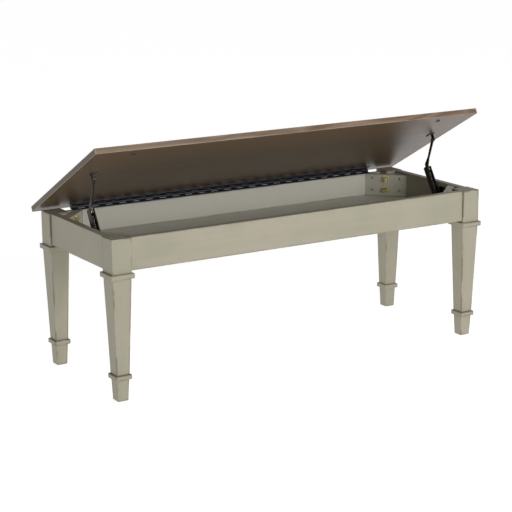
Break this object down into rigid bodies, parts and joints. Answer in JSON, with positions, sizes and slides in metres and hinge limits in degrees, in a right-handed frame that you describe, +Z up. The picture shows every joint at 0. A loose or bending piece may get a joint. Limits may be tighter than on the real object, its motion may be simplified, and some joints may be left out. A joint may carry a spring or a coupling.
{
  "type": "storage bench",
  "caption": "Lift-top storage bench on tapered legs, its wooden lid on a long back hinge and held open by folding stays at each end.",
  "frame": {"origin": "on the floor, under the middle of the outline with the lid open as stored", "axes": "+X to the right along the bench, +Y from the front to the hinge side at the back, +Z up"},
  "size_m": [1.22, 0.4636, 0.6679],
  "materials": {
    "painted_wood": "satin grey-taupe paint over wood",
    "lid_wood": "weathered brown stain, matt",
    "bare_wood": "bare wood",
    "nylon": "smooth nylon",
    "zinc_yellow": "yellow zinc plate",
    "zinc": "zinc plate",
    "black_hinge": "semi-gloss black",
    "black_metal": "satin black",
    "spring_steel": "blued steel",
    "rubber": "matt dark rubber"
  },
  "bodies": {
    "frame": {"leg_front_left": "painted_wood", "leg_front_right": "painted_wood", "leg_back_right": "painted_wood", "leg_back_left": "painted_wood", "upper_collar_front_left": "painted_wood", "upper_collar_front_right": "painted_wood", "upper_collar_back_right": "painted_wood", "upper_collar_back_left": "painted_wood", "lower_collar_front_left": "painted_wood", "lower_collar_front_right": "painted_wood", "lower_collar_back_right": "painted_wood", "lower_collar_back_left": "painted_wood", "front_rail": "painted_wood", "back_rail": "painted_wood", "left_rail": "painted_wood", "right_rail": "painted_wood", "storage_floor": "painted_wood", "floor_batten_left": "bare_wood", "floor_batten_right": "bare_wood", "corner_block_front_left": "painted_wood", "corner_block_front_right": "painted_wood", "corner_block_back_right": "painted_wood", "corner_block_back_left": "painted_wood", "leg_glides": "nylon", "hanger_bolts": "zinc_yellow", "bolt_washers": "zinc_yellow", "hex_nuts": "zinc_yellow", "corner_block_screws": "zinc", "batten_screws": "zinc", "hinge_frame_leaf": "black_hinge", "hinge_pin": "black_hinge", "hinge_frame_screws": "black_hinge", "stay_plate_left": "black_metal", "stay_plate_right": "black_metal", "stay_plate_screws": "black_metal", "stay_pivots": "black_metal"},
    "lid": {"lid_panel": "lid_wood", "lid_edge_front": "lid_wood", "lid_edge_back": "lid_wood", "lid_edge_left": "lid_wood", "lid_edge_right": "lid_wood", "hinge_lid_leaf": "black_hinge", "hinge_lid_screws": "black_hinge", "lid_bumpers": "rubber", "stay_bracket_left": "black_metal", "stay_bracket_right": "black_metal", "stay_bracket_screws": "black_metal", "stay_bracket_rivets": "black_metal"},
    "stay_channel_left": {"stay_channel_left": "black_metal", "stay_spring_left": "spring_steel"},
    "stay_arm_left": {"stay_arm_left": "black_metal", "stay_stud_left": "zinc_yellow"},
    "stay_channel_right": {"stay_channel_right": "black_metal", "stay_spring_right": "spring_steel"},
    "stay_arm_right": {"stay_arm_right": "black_metal", "stay_stud_right": "zinc_yellow"}
  },
  "joints": [
    {"name": "lid_hinge", "type": "hinge", "parent": "frame", "child": "lid", "pos_m": [0, 0.2065, 0.43575], "axis": [-1, 0, 0], "range_deg": [-28.35, 0]},
    {"name": "stay_pivot_left", "type": "hinge", "parent": "frame", "child": "stay_channel_left", "pos_m": [-0.554, -0.08596, 0.388], "axis": [-1, 0, 0], "range_deg": [0, 58], "deforming": ["stay_spring_left"]},
    {"name": "stay_arm_pivot_left", "type": "hinge", "parent": "lid", "child": "stay_arm_left", "pos_m": [-0.554, -0.05394, 0.5635], "axis": [-1, 0, 0], "range_deg": [-27.2, 0]},
    {"name": "stay_pivot_right", "type": "hinge", "parent": "frame", "child": "stay_channel_right", "pos_m": [0.554, -0.08596, 0.388], "axis": [-1, 0, 0], "range_deg": [0, 58], "deforming": ["stay_spring_right"]},
    {"name": "stay_arm_pivot_right", "type": "hinge", "parent": "lid", "child": "stay_arm_right", "pos_m": [0.554, -0.05394, 0.5635], "axis": [-1, 0, 0], "range_deg": [-27.2, 0]}
  ],
  "couplings": [
    {"joint": "stay_pivot_left", "follows": "lid_hinge", "ratio": -2.03},
    {"joint": "stay_arm_pivot_left", "follows": "lid_hinge", "ratio": 0.948},
    {"joint": "stay_pivot_right", "follows": "lid_hinge", "ratio": -2.03},
    {"joint": "stay_arm_pivot_right", "follows": "lid_hinge", "ratio": 0.948}
  ]
}
